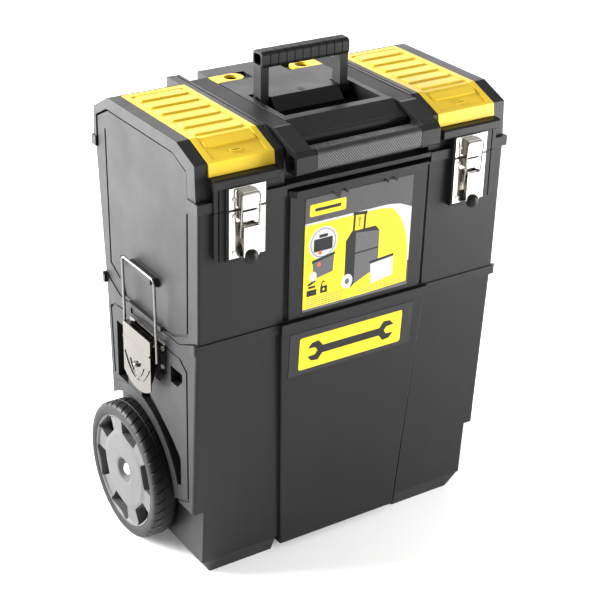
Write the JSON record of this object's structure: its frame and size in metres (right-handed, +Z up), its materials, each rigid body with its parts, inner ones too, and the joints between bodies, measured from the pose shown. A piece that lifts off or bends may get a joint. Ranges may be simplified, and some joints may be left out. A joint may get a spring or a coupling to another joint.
{
  "type": "rolling tool box",
  "caption": "Wheeled plastic storage bin with a latched lift-off tool box, organizer lid, fold-down carry handle and fold-over telescopic pull handle.",
  "frame": {"origin": "on the floor, under the centre of the bounding box", "axes": "+Z up, the front (latches and pull grip) faces -Y, +X to the object's left as seen from its rear, which is the viewer's right when facing its front"},
  "size_m": [0.472, 0.281, 0.627],
  "materials": {
    "body_plastic": "dark grey moulded plastic with a fine sheen",
    "lid_plastic": "near-black moulded plastic with a fine sheen",
    "handle_plastic": "near-black moulded plastic, satin",
    "grip_plastic": "dark grey plastic with a fine diagonal texture",
    "yellow_plastic": "bright yellow moulded plastic, satin",
    "hub_plastic": "mid grey moulded plastic",
    "tyre_plastic": "black tread with fine shoulder cuts",
    "latch_steel": "bright nickel plating over pressed steel",
    "pin_steel": "plain bright steel",
    "label_paper": null
  },
  "bodies": {
    "bin": {"bin_shell": "body_plastic", "axle": "pin_steel", "axle_caps": "pin_steel", "bin_label": "label_paper", "side_latch_base_left": "latch_steel", "side_latch_base_right": "latch_steel", "side_latch_pins": "pin_steel"},
    "toolbox": {"toolbox_shell": "body_plastic", "toolbox_sticker": "label_paper", "latch_base_left": "latch_steel", "latch_base_right": "latch_steel", "latch_pins": "pin_steel", "lid_hinge_pin": "pin_steel"},
    "lid": {"lid_shell": "lid_plastic", "latch_keeper_left": "latch_steel", "latch_keeper_right": "latch_steel", "latch_keeper_rivets": "pin_steel", "carry_handle_pins": "pin_steel", "pull_handle_pins": "pin_steel"},
    "carry_handle": {"carry_handle": "handle_plastic"},
    "pull_handle": {"pull_rail_left": "handle_plastic", "pull_rail_right": "handle_plastic"},
    "pull_grip": {"pull_arm_left": "handle_plastic", "pull_arm_right": "handle_plastic", "pull_grip_core": "handle_plastic", "pull_grip_sleeve": "grip_plastic"},
    "wheel_left": {"wheel_tyre_left": "tyre_plastic", "wheel_rim_left": "hub_plastic", "wheel_hub_cover_left": "hub_plastic"},
    "organizer_left": {"organizer_lid_left": "yellow_plastic"},
    "slide_left": {"slide_lock_left": "yellow_plastic"},
    "front_lever_left": {"latch_lever_left": "latch_steel", "latch_tip_left": "handle_plastic"},
    "front_bail_left": {"latch_bail_left": "latch_steel"},
    "side_lever_left": {"side_latch_lever_left": "latch_steel", "padlock_staple_left": "latch_steel"},
    "side_bail_left": {"side_latch_bail_left": "latch_steel"},
    "wheel_right": {"wheel_tyre_right": "tyre_plastic", "wheel_rim_right": "hub_plastic", "wheel_hub_cover_right": "hub_plastic"},
    "organizer_right": {"organizer_lid_right": "yellow_plastic"},
    "slide_right": {"slide_lock_right": "yellow_plastic"},
    "front_lever_right": {"latch_lever_right": "latch_steel", "latch_tip_right": "handle_plastic"},
    "front_bail_right": {"latch_bail_right": "latch_steel"},
    "side_lever_right": {"side_latch_lever_right": "latch_steel", "padlock_staple_right": "latch_steel"},
    "side_bail_right": {"side_latch_bail_right": "latch_steel"}
  },
  "joints": [
    {"name": "wheel_left_spin", "type": "hinge", "parent": "bin", "child": "wheel_left", "pos_m": [-0.2205, 0.041, 0.09], "axis": [1, 0, 0], "continuous": true},
    {"name": "wheel_right_spin", "type": "hinge", "parent": "bin", "child": "wheel_right", "pos_m": [0.2205, 0.041, 0.09], "axis": [1, 0, 0], "continuous": true},
    {"name": "toolbox_lift", "type": "slide", "parent": "bin", "child": "toolbox", "axis": [0, 0, 1], "range_m": [0, 0.3]},
    {"name": "lid_hinge", "type": "hinge", "parent": "toolbox", "child": "lid", "pos_m": [0, 0.1345, 0.505], "axis": [-1, 0, 0], "range_deg": [0, 95]},
    {"name": "carry_handle_fold", "type": "hinge", "parent": "lid", "child": "carry_handle", "pos_m": [0, 0.005, 0.563], "axis": [1, 0, 0], "range_deg": [0, 90]},
    {"name": "pull_handle_fold", "type": "hinge", "parent": "lid", "child": "pull_handle", "pos_m": [0, 0.095, 0.56275], "axis": [-1, 0, 0], "range_deg": [0, 90]},
    {"name": "pull_grip_slide", "type": "slide", "parent": "pull_handle", "child": "pull_grip", "axis": [0, -1, 0], "range_m": [0, 0.13]},
    {"name": "organizer_left_hinge", "type": "hinge", "parent": "lid", "child": "organizer_left", "pos_m": [-0.156, 0.082, 0.5675], "axis": [-1, 0, 0], "range_deg": [0, 100]},
    {"name": "slide_lock_left", "type": "slide", "parent": "lid", "child": "slide_left", "axis": [1, 0, 0], "range_m": [0, 0.008]},
    {"name": "front_lever_left_hinge", "type": "hinge", "parent": "toolbox", "child": "front_lever_left", "pos_m": [-0.1565, -0.1347, 0.481], "axis": [-1, 0, 0], "range_deg": [0, 110]},
    {"name": "front_bail_left_hinge", "type": "hinge", "parent": "front_lever_left", "child": "front_bail_left", "pos_m": [-0.1565, -0.1347, 0.469], "axis": [-1, 0, 0], "range_deg": [-110, 0]},
    {"name": "side_lever_left_hinge", "type": "hinge", "parent": "bin", "child": "side_lever_left", "pos_m": [-0.225, 0, 0.303], "axis": [0, 1, 0], "range_deg": [0, 110]},
    {"name": "side_bail_left_hinge", "type": "hinge", "parent": "side_lever_left", "child": "side_bail_left", "pos_m": [-0.225, 0, 0.281], "axis": [0, 1, 0], "range_deg": [-110, 0]},
    {"name": "organizer_right_hinge", "type": "hinge", "parent": "lid", "child": "organizer_right", "pos_m": [0.156, 0.082, 0.5675], "axis": [-1, 0, 0], "range_deg": [0, 100]},
    {"name": "slide_lock_right", "type": "slide", "parent": "lid", "child": "slide_right", "axis": [-1, 0, 0], "range_m": [0, 0.008]},
    {"name": "front_lever_right_hinge", "type": "hinge", "parent": "toolbox", "child": "front_lever_right", "pos_m": [0.1565, -0.1347, 0.481], "axis": [-1, 0, 0], "range_deg": [0, 110]},
    {"name": "front_bail_right_hinge", "type": "hinge", "parent": "front_lever_right", "child": "front_bail_right", "pos_m": [0.1565, -0.1347, 0.469], "axis": [-1, 0, 0], "range_deg": [-110, 0]},
    {"name": "side_lever_right_hinge", "type": "hinge", "parent": "bin", "child": "side_lever_right", "pos_m": [0.225, 0, 0.303], "axis": [0, -1, 0], "range_deg": [0, 110]},
    {"name": "side_bail_right_hinge", "type": "hinge", "parent": "side_lever_right", "child": "side_bail_right", "pos_m": [0.225, 0, 0.281], "axis": [0, -1, 0], "range_deg": [-110, 0]}
  ],
  "couplings": [
    {"joint": "front_bail_left_hinge", "follows": "front_lever_left_hinge", "ratio": -1},
    {"joint": "side_bail_left_hinge", "follows": "side_lever_left_hinge", "ratio": -1},
    {"joint": "front_bail_right_hinge", "follows": "front_lever_right_hinge", "ratio": -1},
    {"joint": "side_bail_right_hinge", "follows": "side_lever_right_hinge", "ratio": -1}
  ]
}
